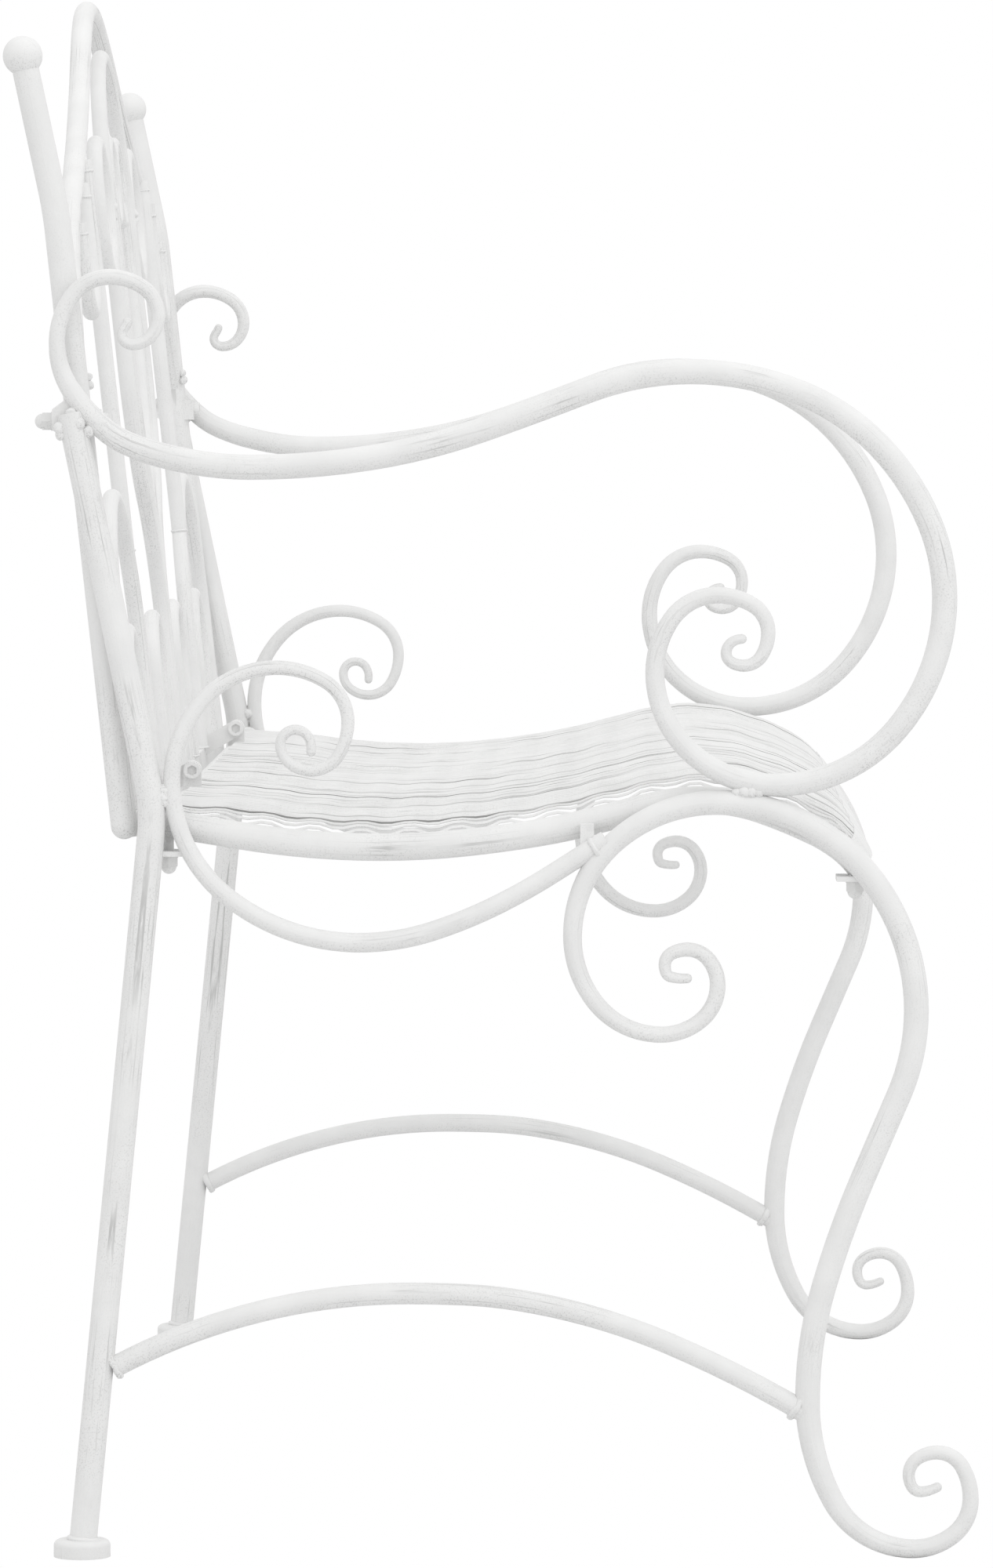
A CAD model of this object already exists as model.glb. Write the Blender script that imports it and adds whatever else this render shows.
import math

import bpy
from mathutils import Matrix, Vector, noise


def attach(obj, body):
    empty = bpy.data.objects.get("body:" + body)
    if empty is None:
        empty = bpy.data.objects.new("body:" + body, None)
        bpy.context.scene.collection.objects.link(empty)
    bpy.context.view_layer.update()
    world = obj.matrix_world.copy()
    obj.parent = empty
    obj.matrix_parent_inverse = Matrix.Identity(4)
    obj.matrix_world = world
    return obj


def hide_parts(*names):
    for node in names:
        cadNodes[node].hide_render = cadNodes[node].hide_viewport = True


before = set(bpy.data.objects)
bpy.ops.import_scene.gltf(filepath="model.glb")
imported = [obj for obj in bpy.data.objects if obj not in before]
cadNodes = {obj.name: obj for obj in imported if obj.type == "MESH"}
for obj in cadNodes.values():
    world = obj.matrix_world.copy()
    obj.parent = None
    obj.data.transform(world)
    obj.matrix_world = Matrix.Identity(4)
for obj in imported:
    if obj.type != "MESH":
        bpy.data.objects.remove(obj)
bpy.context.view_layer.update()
print("bench frame loaded:", len(cadNodes), "nodes")

# places that several pieces share, metres
bench = {
    "middleY": 0.00173,        # bench middle, front to back
    "frameX": 0.522,           # side frame plane
    "postFootY": 0.21373,      # foot of the back posts
    "postFootZ": 0.425,
    "recline": math.radians(6.2),
    "infillForward": 0.005,    # infill bars stand forward of the posts' plane
}
backNormal = Vector((0, math.cos(bench["recline"]), -math.sin(bench["recline"])))
backUp = Vector((0, math.sin(bench["recline"]), math.cos(bench["recline"])))


def sidePoint(sign, forward, height, outward=0.0):
    return Vector((sign * (bench["frameX"] + outward), bench["middleY"] - forward, height))


def backPoint(x, height):
    slope = (height - bench["postFootZ"]) * math.tan(bench["recline"])
    return Vector((x, bench["postFootY"] + slope, height)) - backNormal * bench["infillForward"]


def freshStart():
    if bpy.context.object and bpy.context.object.mode != "OBJECT":
        bpy.ops.object.mode_set(mode="OBJECT")
    bpy.ops.object.select_all(action="DESELECT")


def pickOnly(piece):
    freshStart()
    piece.select_set(True)
    bpy.context.view_layer.objects.active = piece


# expanded metal of the seat, metres
seatMesh = {
    "profile": [(-0.187, 0.42635, -9.4), (-0.145, 0.4194, -9.4), (-0.063, 0.4127, 0), (0.030, 0.4214, 9.7),
                (0.075, 0.4318, 15), (0.124, 0.4405, 0), (0.190, 0.4215, -26), (0.2156, 0.4010, -54)],
    "width": 1.0016,
    "ribbons": 144,
    "diamonds": 15,            # along one ribbon
    "ribbonWidth": 0.0023,
    "ribbonThick": 0.0012,
    "hexagonFill": 1.15,       # a hexagon is less high than wide by this
    "tilt": math.radians(5),
    "bond": 0.0062,            # length of a bond
    "hem": 0.016,              # uncut strip along the front edge
    "hemThick": 0.0016,
    "hemCells": (160, 8),
    "rise": 0.0062,            # edge of the mesh over the side rails' centre line
    "crown": 0.0085,           # the mesh stands proud of the side rails between its edges
    "endCrown": 0.0034,        # and less so over the cross rails
    "crownRun": 0.015,
    "endRun": 0.04,            # the crown falls off over this, front and rear
    "dentRun": 0.03,           # and the dents over this, at the sides
    "dentSkew": 4.0,
    "dents": [(0.083, 0.0, 0.0006), (0.131, 1.9, 0.0006), (0.057, 4.1, 0.0003)],   # wave, phase, depth
    "curveSteps": 24,
    "smoothAngle": math.radians(35),
}

# paint: off-white brushed over grey, worn to streaks along the bars and to speckle below
paintLook = {
    "slopeTurn": 1.5,              # how far the streaks change with the slope of the surface
    "streakEdge": (0.56, 0.66),
    "patchScale": 11.0,
    "patchEdge": (0.44, 0.62),
    "underEdge": (0.25, -0.75),    # from upward to downward faces
    "fineScale": 1000.0,
    "speckleEdge": (0.54, 0.66),
    "streakShare": (0.75, 0.22),   # in the patches, on the undersides
    "speckleShare": (0.45, 0.6),
    "grimyEdge": (0.45, 0.95),     # strands of the seat that carry grime
    "strandStep": 7.3,
    "strandRun": 8.0,
    "lastingEdge": (0.40, 0.60),
    "flankEdge": (0.2, 0.5),
    "toneScale": 34.0,
    "toneEdge": (0.3, 0.7),
    "toneRange": (0.955, 1.0),
    "lumpScale": 150.0,
    "lumpHeight": 0.9,
    "streakHeight": 0.5,
    "grainHeight": 0.22,
    "wearDepth": 0.45,
    "wearRoughness": 0.2,
    "grainRoughness": 0.25,
    "leastRoughness": 0.5,
    "reliefStrength": 0.35,
    "reliefDistance": 0.0007,      # metres
    "specular": 0.25,
}


def wire(tree, source, socket):
    if isinstance(source, bpy.types.NodeSocket):
        tree.links.new(source, socket)
    else:
        socket.default_value = source


def mathStep(tree, operation, first, second=0.5):
    step = tree.nodes.new("ShaderNodeMath")
    step.operation = operation
    wire(tree, first, step.inputs[0])
    wire(tree, second, step.inputs[1])
    return step.outputs[0]


def rampStep(tree, value, low, high, toLow=0.0, toHigh=1.0):
    step = tree.nodes.new("ShaderNodeMapRange")
    step.interpolation_type = "SMOOTHSTEP"
    wire(tree, value, step.inputs["Value"])
    step.inputs["From Min"].default_value = low
    step.inputs["From Max"].default_value = high
    step.inputs["To Min"].default_value = toLow
    step.inputs["To Max"].default_value = toHigh
    return step.outputs["Result"]


def noiseStep(tree, vector, scale, detail, roughness=0.55):
    step = tree.nodes.new("ShaderNodeTexNoise")
    wire(tree, vector, step.inputs["Vector"])
    wire(tree, scale, step.inputs["Scale"])
    step.inputs["Detail"].default_value = detail
    step.inputs["Roughness"].default_value = roughness
    return step.outputs["Fac"]


def buildAgedPaint():
    tree = bpy.data.node_groups.new("agedPaint", "ShaderNodeTree")
    sockets = [
        ("Position", "INPUT", "NodeSocketVector"), ("Around", "INPUT", "NodeSocketFloat"),
        ("Facing", "INPUT", "NodeSocketFloat"), ("Paint", "INPUT", "NodeSocketColor"),
        ("Worn", "INPUT", "NodeSocketColor"), ("Streak Run", "INPUT", "NodeSocketFloat"),
        ("Streak Count", "INPUT", "NodeSocketFloat"), ("Streaks", "INPUT", "NodeSocketFloat"),
        ("Speckle", "INPUT", "NodeSocketFloat"), ("Lines", "INPUT", "NodeSocketFloat"),
        ("Strand Pitch", "INPUT", "NodeSocketFloat"), ("Colour", "OUTPUT", "NodeSocketColor"),
        ("Roughness", "OUTPUT", "NodeSocketFloat"), ("Height", "OUTPUT", "NodeSocketFloat"),
    ]
    for name, direction, kind in sockets:
        tree.interface.new_socket(name=name, in_out=direction, socket_type=kind)
    given = tree.nodes.new("NodeGroupInput").outputs
    put = tree.nodes.new("NodeGroupOutput").inputs

    # brush streaks keep to one side of the bar, so the angle round it is one of their coordinates
    along = tree.nodes.new("ShaderNodeVectorMath")
    along.operation = "SCALE"
    wire(tree, given["Position"], along.inputs[0])
    wire(tree, given["Streak Run"], along.inputs["Scale"])
    turn = tree.nodes.new("ShaderNodeCombineXYZ")
    wire(tree, mathStep(tree, "MULTIPLY", given["Around"], given["Streak Count"]), turn.inputs[0])
    wire(tree, mathStep(tree, "MULTIPLY", given["Facing"], paintLook["slopeTurn"]), turn.inputs[2])
    streakPlace = tree.nodes.new("ShaderNodeVectorMath")
    wire(tree, along.outputs[0], streakPlace.inputs[0])
    wire(tree, turn.outputs[0], streakPlace.inputs[1])
    streakNoise = noiseStep(tree, streakPlace.outputs[0], 1.0, 5, 0.62)
    streakMask = rampStep(tree, streakNoise, *paintLook["streakEdge"])

    patchNoise = noiseStep(tree, given["Position"], paintLook["patchScale"], 3)
    patches = rampStep(tree, patchNoise, *paintLook["patchEdge"])
    under = rampStep(tree, given["Facing"], *paintLook["underEdge"])
    fineNoise = noiseStep(tree, given["Position"], paintLook["fineScale"], 2, 0.6)
    speckleMask = rampStep(tree, fineNoise, *paintLook["speckleEdge"])

    def wearStep(mask, shares, amount):
        share = mathStep(tree, "ADD", mathStep(tree, "MULTIPLY", patches, shares[0]),
                         mathStep(tree, "MULTIPLY", under, shares[1]))
        return mathStep(tree, "MULTIPLY", mathStep(tree, "MULTIPLY", mask, share), amount)

    streakWear = wearStep(streakMask, paintLook["streakShare"], given["Streaks"])
    speckleWear = wearStep(speckleMask, paintLook["speckleShare"], given["Speckle"])
    barWear = mathStep(tree, "MAXIMUM", streakWear, speckleWear)

    # grime in the flanks of single strands of the seat, front to back
    split = tree.nodes.new("ShaderNodeSeparateXYZ")
    wire(tree, given["Position"], split.inputs[0])
    strand = mathStep(tree, "FLOOR", mathStep(tree, "DIVIDE", split.outputs["X"], given["Strand Pitch"]))
    chance = tree.nodes.new("ShaderNodeTexWhiteNoise")
    chance.noise_dimensions = "1D"
    wire(tree, strand, chance.inputs["W"])
    grimy = rampStep(tree, chance.outputs["Value"], *paintLook["grimyEdge"])
    stretch = tree.nodes.new("ShaderNodeCombineXYZ")
    wire(tree, mathStep(tree, "MULTIPLY", strand, paintLook["strandStep"]), stretch.inputs[0])
    wire(tree, mathStep(tree, "MULTIPLY", split.outputs["Y"], paintLook["strandRun"]), stretch.inputs[1])
    lasting = rampStep(tree, noiseStep(tree, stretch.outputs[0], 1.0, 1), *paintLook["lastingEdge"])
    flank = rampStep(tree, mathStep(tree, "ABSOLUTE", given["Around"]), *paintLook["flankEdge"])
    lineMask = mathStep(tree, "MULTIPLY", mathStep(tree, "MULTIPLY", grimy, lasting), flank)
    lineWear = mathStep(tree, "MULTIPLY", lineMask, given["Lines"])
    wear = mathStep(tree, "MAXIMUM", barWear, lineWear)

    toneNoise = noiseStep(tree, given["Position"], paintLook["toneScale"], 4)
    tone = rampStep(tree, toneNoise, *paintLook["toneEdge"], *paintLook["toneRange"])
    toned = tree.nodes.new("ShaderNodeVectorMath")
    toned.operation = "SCALE"
    wire(tree, given["Paint"], toned.inputs[0])
    wire(tree, tone, toned.inputs["Scale"])
    blend = tree.nodes.new("ShaderNodeMix")
    blend.data_type = "RGBA"
    wire(tree, wear, blend.inputs["Factor"])
    wire(tree, toned.outputs[0], blend.inputs[6])
    wire(tree, given["Worn"], blend.inputs[7])
    wire(tree, blend.outputs[2], put["Colour"])

    wornRough = mathStep(tree, "MULTIPLY", wear, paintLook["wearRoughness"])
    grainRough = mathStep(tree, "MULTIPLY", fineNoise, paintLook["grainRoughness"])
    wire(tree, mathStep(tree, "ADD", wornRough, grainRough), put["Roughness"])
    lumpNoise = noiseStep(tree, given["Position"], paintLook["lumpScale"], 3)
    lumps = mathStep(tree, "MULTIPLY", lumpNoise, paintLook["lumpHeight"])
    ridges = mathStep(tree, "MULTIPLY", streakNoise, paintLook["streakHeight"])
    grain = mathStep(tree, "MULTIPLY", fineNoise, paintLook["grainHeight"])
    raised = mathStep(tree, "ADD", mathStep(tree, "ADD", lumps, ridges), grain)
    sunk = mathStep(tree, "MULTIPLY", wear, paintLook["wearDepth"])
    wire(tree, mathStep(tree, "SUBTRACT", raised, sunk), put["Height"])
    return tree


agedPaint = buildAgedPaint()

finishes = {
    # axis is square to the plane that the bars are bent in
    "sidePaint": {"axis": (1, 0, 0), "streakRun": 13.0, "streakCount": 13.0,
                  "streaks": 0.9, "speckle": 0.6},
    "backPaint": {"axis": tuple(backNormal), "streakRun": 12.0, "streakCount": 11.0,
                  "streaks": 0.9, "speckle": 0.55},
    "crossPaint": {"axis": (0, 0, 1), "streakRun": 13.0, "streakCount": 11.0,
                   "streaks": 0.8, "speckle": 0.55},
    "fastenerPaint": {"axis": (0, 0, 1), "streakRun": 60.0, "streakCount": 2.0,
                      "streaks": 0.5, "speckle": 0.6},
    "weldPaint": {"axis": (1, 0, 0), "streakRun": 120.0, "streakCount": 2.0,
                  "streaks": 0.7, "speckle": 1.0},
    "meshPaint": {"axis": (1, 0, 0), "streakRun": 30.0, "streakCount": 3.0, "streaks": 0.35, "speckle": 0.4,
                  "lines": 1.0, "worn": (0.25, 0.25, 0.245, 1.0)},
}
paintColour = (0.80, 0.80, 0.795, 1.0)
wornColour = (0.43, 0.43, 0.425, 1.0)


def paintMaterial(name, finish):
    material = bpy.data.materials.new(name)
    material.use_nodes = True
    tree = material.node_tree
    shader = tree.nodes["Principled BSDF"]
    paint = tree.nodes.new("ShaderNodeGroup")
    paint.node_tree = agedPaint
    place = tree.nodes.new("ShaderNodeTexCoord")
    surface = tree.nodes.new("ShaderNodeNewGeometry")
    around = tree.nodes.new("ShaderNodeVectorMath")
    around.operation = "DOT_PRODUCT"
    around.inputs[1].default_value = finish["axis"]
    upward = tree.nodes.new("ShaderNodeSeparateXYZ")
    tree.links.new(surface.outputs["Normal"], around.inputs[0])
    tree.links.new(surface.outputs["Normal"], upward.inputs[0])
    tree.links.new(place.outputs["Object"], paint.inputs["Position"])
    tree.links.new(around.outputs["Value"], paint.inputs["Around"])
    tree.links.new(upward.outputs["Z"], paint.inputs["Facing"])
    paint.inputs["Paint"].default_value = paintColour
    paint.inputs["Worn"].default_value = finish.get("worn", wornColour)
    paint.inputs["Streak Run"].default_value = finish["streakRun"]
    paint.inputs["Streak Count"].default_value = finish["streakCount"]
    paint.inputs["Streaks"].default_value = finish["streaks"]
    paint.inputs["Speckle"].default_value = finish["speckle"]
    paint.inputs["Lines"].default_value = finish.get("lines", 0.0)
    paint.inputs["Strand Pitch"].default_value = seatMesh["width"] / seatMesh["ribbons"]
    relief = tree.nodes.new("ShaderNodeBump")
    relief.inputs["Strength"].default_value = paintLook["reliefStrength"]
    relief.inputs["Distance"].default_value = paintLook["reliefDistance"]
    roughness = tree.nodes.new("ShaderNodeMath")
    roughness.operation = "ADD"
    roughness.inputs[1].default_value = paintLook["leastRoughness"]
    tree.links.new(paint.outputs["Roughness"], roughness.inputs[0])
    tree.links.new(roughness.outputs[0], shader.inputs["Roughness"])
    tree.links.new(paint.outputs["Colour"], shader.inputs["Base Color"])
    tree.links.new(paint.outputs["Height"], relief.inputs["Height"])
    tree.links.new(relief.outputs["Normal"], shader.inputs["Normal"])
    shader.inputs["Specular IOR Level"].default_value = paintLook["specular"]
    return material


paints = {name: paintMaterial(name, finish) for name, finish in finishes.items()}

backNodes = ("crest", "hairpin", "heart", "ring", "arch", "upright", "loop", "back_lugs")
crossNodes = ("bottom_rail", "seat_front_rail", "seat_rear_rail")
smallNodes = ("bolt", "washer", "nut", "stud", "tab")


def paintFor(node):
    if node in crossNodes:
        return "crossPaint"
    if any(word in node for word in smallNodes):
        return "fastenerPaint"
    if any(word in node for word in backNodes) and "back_post" not in node:
        return "backPaint"
    return "sidePaint"


for node, piece in cadNodes.items():
    piece.data.materials.clear()
    piece.data.materials.append(paints[paintFor(node)])
print("paint on", len(cadNodes), "bars and fasteners")


# seat of expanded metal: ribbons that run front to back and meet at staggered bonds
def seatLine():
    freshStart()
    bpy.ops.curve.primitive_bezier_curve_add()
    curve = bpy.context.object
    spline = curve.data.splines[0]
    profile = seatMesh["profile"]
    spline.bezier_points.add(len(profile) - 2)
    spots = []
    for forward, height, heading in profile:
        angle = math.radians(heading)
        direction = Vector((0, -math.cos(angle), math.sin(angle)))
        normal = Vector((0, math.sin(angle), math.cos(angle)))
        spot = Vector((0, bench["middleY"] - forward, height)) + normal * seatMesh["rise"]
        spots.append((spot, direction))
    for index, (spot, direction) in enumerate(spots):
        point = spline.bezier_points[index]
        point.handle_left_type = point.handle_right_type = "FREE"
        before = (spot - spots[max(index - 1, 0)][0]).length / 3
        after = (spots[min(index + 1, len(spots) - 1)][0] - spot).length / 3
        point.co = spot
        point.handle_left = spot - direction * before
        point.handle_right = spot + direction * after
    curve.data.dimensions = "3D"
    curve.data.resolution_u = seatMesh["curveSteps"]
    track = bpy.data.meshes.new_from_object(curve)
    spots = [vertex.co.copy() for vertex in track.vertices]
    bpy.data.meshes.remove(track)
    bpy.data.objects.remove(curve)
    runs = [0.0]
    for first, second in zip(spots, spots[1:]):
        runs.append(runs[-1] + (second - first).length)
    return spots, runs


def flatRibbons(length):
    pitch = seatMesh["width"] / seatMesh["ribbons"]
    period = length / seatMesh["diamonds"]
    half = seatMesh["ribbonWidth"] / 2
    swing = pitch / 2 - half * math.cos(seatMesh["tilt"])
    lift = half * math.sin(seatMesh["tilt"])
    slant = period / 2 - seatMesh["bond"]

    freshStart()
    bpy.ops.mesh.primitive_circle_add(vertices=6, radius=half, fill_type="NGON", rotation=(math.pi / 2, 0, 0))
    ribbon = bpy.context.object
    ribbon.name = "expanded_seat"
    bpy.ops.object.transform_apply(location=True, rotation=True, scale=True)
    bpy.ops.object.mode_set(mode="EDIT")
    bpy.ops.mesh.select_all(action="SELECT")
    bpy.ops.transform.rotate(value=math.radians(30), orient_axis="Y", center_override=(0, 0, 0))
    flatness = seatMesh["ribbonThick"] / seatMesh["ribbonWidth"] * seatMesh["hexagonFill"]
    bpy.ops.transform.resize(value=(1, 1, flatness))
    bpy.ops.transform.rotate(value=seatMesh["tilt"], orient_axis="Y", center_override=(0, 0, 0))
    bpy.ops.transform.translate(value=(pitch / 2 - seatMesh["width"] / 2 + swing, 0, lift))
    bond = seatMesh["bond"]
    steps = [(0, bond / 2, 0)]
    for diamond in range(seatMesh["diamonds"]):
        last = bond / 2 if diamond == seatMesh["diamonds"] - 1 else bond
        steps += [(-2 * swing, slant, -2 * lift), (0, bond, 0)]
        steps += [(2 * swing, slant, 2 * lift), (0, last, 0)]
    for step in steps:
        bpy.ops.mesh.extrude_region_move(TRANSFORM_OT_translate={"value": step})
    bpy.ops.object.mode_set(mode="OBJECT")

    rows = ribbon.modifiers.new("rows", "ARRAY")
    rows.use_relative_offset = False
    rows.use_constant_offset = True
    rows.constant_offset_displace = (pitch, 0, 0)
    rows.count = seatMesh["ribbons"]
    pickOnly(ribbon)
    bpy.ops.object.modifier_apply(modifier="rows")
    return ribbon


def addHem(ribbon, length):
    across, along = seatMesh["hemCells"]
    bpy.ops.mesh.primitive_grid_add(x_subdivisions=across, y_subdivisions=along, size=1)
    hem = bpy.context.object
    hem.scale = (seatMesh["width"], seatMesh["hem"], 1)
    hem.location = (0, length - seatMesh["hem"] / 2, 0)
    bpy.ops.object.transform_apply(location=True, rotation=True, scale=True)
    plate = hem.modifiers.new("plate", "SOLIDIFY")
    plate.thickness = seatMesh["hemThick"]
    plate.offset = 0
    bpy.ops.object.modifier_apply(modifier="plate")
    pickOnly(ribbon)
    hem.select_set(True)
    bpy.ops.object.join()


def seatSwell(x, run, length):
    inset = seatMesh["width"] / 2 - abs(x)
    ends = min(1.0, min(run, length - run) / seatMesh["endRun"])
    crown = seatMesh["endCrown"] + (seatMesh["crown"] - seatMesh["endCrown"]) * ends
    swell = crown * (1 - math.exp(-max(inset, 0.0) / seatMesh["crownRun"]))
    sides = min(1.0, inset / seatMesh["dentRun"])
    for wave, phase, depth in seatMesh["dents"]:
        turn = 2 * math.pi * x / wave + phase + seatMesh["dentSkew"] * run
        swell += depth * math.sin(turn) * sides * ends
    return swell


def buildSeatMesh():
    spots, runs = seatLine()
    length = runs[-1]
    ribbon = flatRibbons(length)
    addHem(ribbon, length)
    for vertex in ribbon.data.vertices:
        run = min(max(vertex.co.y, 0.0), length)
        index = 1
        while runs[index] < run and index < len(runs) - 1:
            index += 1
        direction = (spots[index] - spots[index - 1]).normalized()
        normal = Vector((0, direction.z, -direction.y))
        spot = spots[index - 1] + direction * (run - runs[index - 1])
        lift = vertex.co.z + seatSwell(vertex.co.x, run, length)
        vertex.co = Vector((vertex.co.x, 0, 0)) + spot + normal * lift
    pickOnly(ribbon)
    bpy.ops.object.mode_set(mode="EDIT")
    bpy.ops.mesh.select_all(action="SELECT")
    bpy.ops.mesh.normals_make_consistent(inside=False)
    bpy.ops.object.mode_set(mode="OBJECT")
    bpy.ops.object.shade_smooth_by_angle(angle=seatMesh["smoothAngle"])
    return ribbon


seatPiece = buildSeatMesh()
seatPiece.data.materials.append(paints["meshPaint"])
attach(seatPiece, "root")
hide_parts("seat_sheet")
low, high = (Vector(corner) for corner in (seatPiece.bound_box[0], seatPiece.bound_box[6]))
print("seat mesh:", len(seatPiece.data.polygons), "faces from", tuple(round(v, 4) for v in low),
      "to", tuple(round(v, 4) for v in high))

# welds: lumpy rings round the bars' ends and short beads where bars touch, metres
welds = {
    # forward, height, heading in degrees, radius of the ring, thickness of the bead
    "sideRings": [(-0.2172, 0.1115, 28, 0.0063, 0.0021), (0.1785, 0.0880, -31, 0.0063, 0.0021),
                  (-0.2359, 0.0102, 84.4, 0.0082, 0.0016), (0.0615, 0.4130, 32, 0.0057, 0.0017)],
    # forward, height, outward, radius: beads on the faces of the side frames
    "sideBeads": [(-0.2407, 0.6648, 0.0032, 0.0034), (-0.2360, 0.6586, 0.0050, 0.0036),
                  (-0.2312, 0.6543, 0.0032, 0.0034), (-0.2475, 0.6560, 0.0030, 0.0036),
                  (-0.2470, 0.6525, 0.0020, 0.0034), (-0.1881, 0.4470, 0.0016, 0.0036),
                  (-0.1883, 0.4430, 0.0020, 0.0036), (-0.1882, 0.4395, 0.0014, 0.0034),
                  (-0.1881, 0.4450, -0.0030, 0.0036), (0.1435, 0.4458, 0.0030, 0.0030),
                  (0.1478, 0.4460, 0.0036, 0.0036), (0.1520, 0.4462, 0.0034, 0.0034),
                  (0.1560, 0.4458, 0.0028, 0.0030), (0.1480, 0.4460, -0.0036, 0.0036),
                  (0.1540, 0.4460, -0.0034, 0.0034)],
    # across, height, radius of the ring, thickness of the bead
    "backRings": [(0.0052, 0.4325, 0.0050, 0.0009), (0.4720, 0.4325, 0.0050, 0.0009),
                  (0.2640, 0.4325, 0.0050, 0.0009), (0.4080, 0.4325, 0.0050, 0.0009),
                  (0.3280, 0.4325, 0.0050, 0.0009), (0.1470, 0.4325, 0.0050, 0.0009),
                  (0.0770, 0.4325, 0.0050, 0.0009), (0.2890, 0.5790, 0.0050, 0.0009),
                  (0.2890, 0.8090, 0.0050, 0.0009), (0.4030, 0.7690, 0.0050, 0.0009),
                  (0.3330, 0.7925, 0.0050, 0.0009)],
    "backBeads": [(0.1050, 0.7850, 0.0030, 0.0034), (0.1050, 0.7900, 0.0034, 0.0034),
                  (0.1050, 0.7875, -0.0034, 0.0034), (0.4985, 0.6800, 0.0026, 0.0028),
                  (0.4985, 0.6850, 0.0026, 0.0026), (0.4985, 0.6800, -0.0026, 0.0028)],
    # forward, height of the seat's cross rails
    "seatRings": [(-0.187, 0.4274, 0.0070, 0.0020), (0.200, 0.4176, 0.0070, 0.0020)],
    "seatRingX": 0.4978,
    "ringRough": 0.5,          # share of the bead's thickness
    "ringGrain": 260.0,
    "beadRough": 0.24,
    "beadGrain": 330.0,
}


def roughen(piece, depth, grain):
    for vertex, normal in [(vertex, vertex.normal.copy()) for vertex in piece.data.vertices]:
        place = piece.matrix_world @ vertex.co
        vertex.co += normal * depth * noise.noise(place * grain)


def weldRing(centre, axis, radius, thick):
    turn = Vector(axis).to_track_quat("Z", "Y").to_euler()
    bpy.ops.mesh.primitive_torus_add(location=centre, rotation=turn, major_radius=radius, minor_radius=thick,
                                     major_segments=22, minor_segments=8)
    piece = bpy.context.object
    roughen(piece, thick * welds["ringRough"], welds["ringGrain"])
    return piece


def weldBead(centre, radius):
    bpy.ops.mesh.primitive_ico_sphere_add(subdivisions=3, radius=radius, location=centre)
    piece = bpy.context.object
    roughen(piece, radius * welds["beadRough"], welds["beadGrain"])
    return piece


def buildWelds():
    freshStart()
    pieces = []
    for sign in (-1, 1):
        for forward, height, heading, radius, thick in welds["sideRings"]:
            angle = math.radians(heading)
            axis = (0, -math.cos(angle), math.sin(angle))
            pieces.append(weldRing(sidePoint(sign, forward, height), axis, radius, thick))
        for forward, height, outward, radius in welds["sideBeads"]:
            pieces.append(weldBead(sidePoint(sign, forward, height, outward), radius))
        for across, height, radius, thick in welds["backRings"]:
            pieces.append(weldRing(backPoint(sign * across, height), backUp, radius, thick))
        for across, height, forward, radius in welds["backBeads"]:
            pieces.append(weldBead(backPoint(sign * across, height) - backNormal * forward, radius))
        for forward, height, radius, thick in welds["seatRings"]:
            centre = Vector((sign * welds["seatRingX"], bench["middleY"] - forward, height))
            pieces.append(weldRing(centre, (1, 0, 0), radius, thick))
    freshStart()
    for piece in pieces:
        piece.select_set(True)
    bpy.context.view_layer.objects.active = pieces[0]
    bpy.ops.object.join()
    beads = bpy.context.object
    beads.name = "weld_beads"
    bpy.ops.object.transform_apply(location=True, rotation=True, scale=True)
    bpy.ops.object.shade_smooth()
    return beads


weldPiece = buildWelds()
weldPiece.data.materials.append(paints["weldPaint"])
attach(weldPiece, "root")
print("weld beads:", len(weldPiece.data.polygons), "faces")

# camera where the photo was taken from, on the bench's left
camera = {"place": (-5.1809, -0.07697, 0.6978), "yaw": 0.9115, "pitch": -3.0392, "lens": 185.07,
          "sensor": 36, "reach": 60}


def addCamera():
    freshStart()
    bpy.ops.object.camera_add(location=camera["place"])
    piece = bpy.context.object
    piece.data.lens = camera["lens"]
    piece.data.sensor_width = camera["sensor"]
    yaw = math.radians(camera["yaw"])
    pitch = math.radians(camera["pitch"])
    look = Vector((math.cos(pitch) * math.cos(yaw), math.cos(pitch) * math.sin(yaw), math.sin(pitch)))
    piece.rotation_euler = look.to_track_quat("-Z", "Y").to_euler()
    piece.data.clip_end = camera["reach"]
    bpy.context.scene.camera = piece


addCamera()

# pale studio: white round about, soft light from above and from the camera's side
studio = {"ambient": 0.95, "floor": 30.0, "floorColour": (0.80, 0.80, 0.80, 1), "lamps": [
    {"name": "softTop", "place": (-1.2, -0.6, 4.2), "aim": (0, 0, 0.4), "size": 4.5, "power": 34},
    {"name": "softSide", "place": (-4.2, -2.6, 2.4), "aim": (0, 0, 0.5), "size": 3.0, "power": 22},
]}


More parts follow.
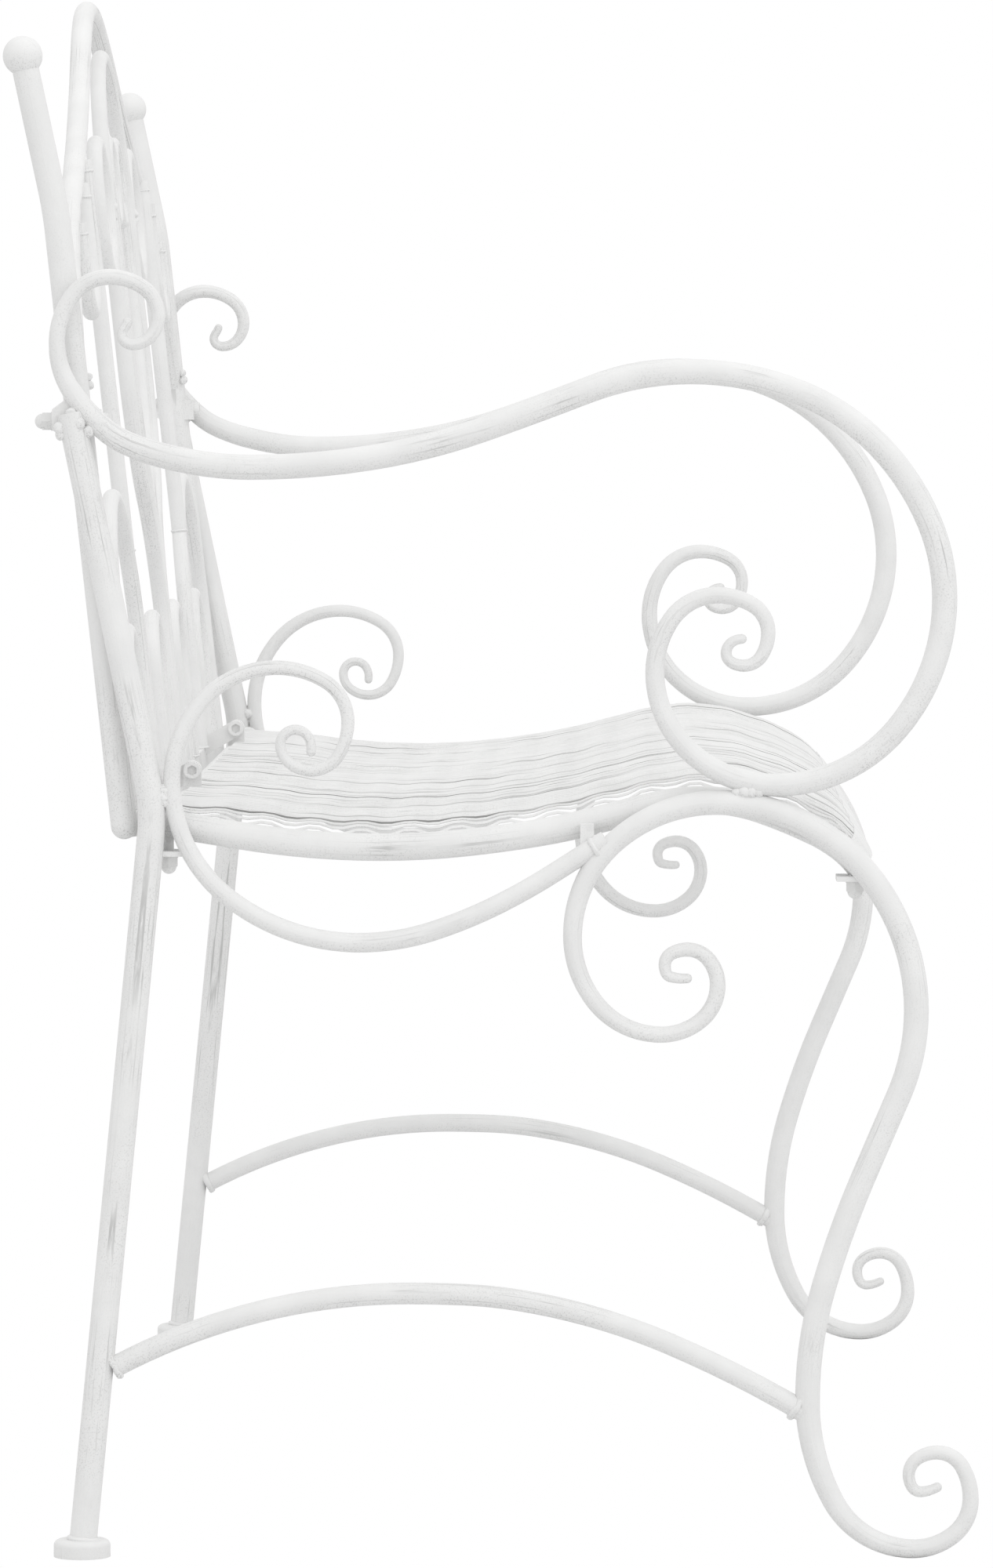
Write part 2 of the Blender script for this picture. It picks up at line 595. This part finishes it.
def addStudio():
    freshStart()
    bpy.ops.mesh.primitive_plane_add(size=studio["floor"], location=(0, 0, 0))
    floor = bpy.context.object
    floor.name = "studio_floor"
    material = bpy.data.materials.new("paleFloor")
    material.use_nodes = True
    tree = material.node_tree
    tree.nodes.clear()
    out = tree.nodes.new("ShaderNodeOutputMaterial")
    mixed = tree.nodes.new("ShaderNodeMixShader")
    matt = tree.nodes.new("ShaderNodeBsdfDiffuse")
    matt.inputs["Color"].default_value = studio["floorColour"]
    white = tree.nodes.new("ShaderNodeEmission")
    white.inputs["Strength"].default_value = 1.0
    path = tree.nodes.new("ShaderNodeLightPath")
    tree.links.new(path.outputs["Is Camera Ray"], mixed.inputs["Fac"])
    tree.links.new(matt.outputs[0], mixed.inputs[1])
    tree.links.new(white.outputs[0], mixed.inputs[2])
    tree.links.new(mixed.outputs[0], out.inputs["Surface"])
    floor.data.materials.append(material)

    world = bpy.data.worlds.new("paleStudio")
    bpy.context.scene.world = world
    world.use_nodes = True
    tree = world.node_tree
    ground = tree.nodes["Background"]
    path = tree.nodes.new("ShaderNodeLightPath")
    seen = tree.nodes.new("ShaderNodeMath")
    seen.operation = "MAXIMUM"
    tree.links.new(path.outputs["Is Camera Ray"], seen.inputs[0])
    tree.links.new(path.outputs["Is Glossy Ray"], seen.inputs[1])
    strength = tree.nodes.new("ShaderNodeMapRange")
    strength.inputs["To Min"].default_value = studio["ambient"]
    strength.inputs["To Max"].default_value = 1.0
    tree.links.new(seen.outputs[0], strength.inputs["Value"])
    tree.links.new(strength.outputs["Result"], ground.inputs["Strength"])
    ground.inputs["Color"].default_value = (1, 1, 1, 1)

    for lamp in studio["lamps"]:
        bpy.ops.object.light_add(type="AREA", location=lamp["place"])
        light = bpy.context.object
        light.name = lamp["name"]
        light.data.energy = lamp["power"]
        light.data.size = lamp["size"]
        aim = Vector(lamp["aim"]) - Vector(lamp["place"])
        light.rotation_euler = aim.to_track_quat("-Z", "Y").to_euler()


addStudio()
bpy.context.scene.view_settings.view_transform = "Standard"
print("camera and studio in place")
